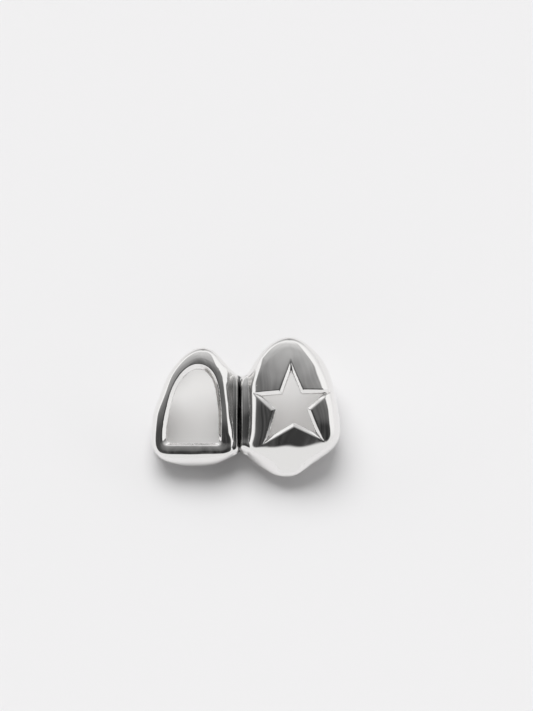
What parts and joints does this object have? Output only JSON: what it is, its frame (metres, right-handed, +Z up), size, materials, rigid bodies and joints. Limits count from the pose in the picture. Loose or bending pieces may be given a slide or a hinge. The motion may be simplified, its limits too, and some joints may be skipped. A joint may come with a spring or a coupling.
{
  "type": "grillz tooth cover",
  "caption": "Removable metal tooth cover for an upper lateral incisor and canine: an open-face cap with a window joined to a full cap with a star cut-out, both hollow.",
  "frame": {"origin": "centre of the base of the bounding box, on the surface that the cover lies on", "axes": "+X along the row of teeth from the incisor's cap to the canine's, +Y from the biting edges to the gum rims, +Z up from the surface; the faces look up and to -Y"},
  "size_m": [0.0148, 0.0122, 0.0065],
  "materials": {
    "polished_silver": "mirror-polished sterling silver, satin inside the caps"
  },
  "bodies": {
    "root": {"tooth_cover": "polished_silver"}
  },
  "joints": []
}
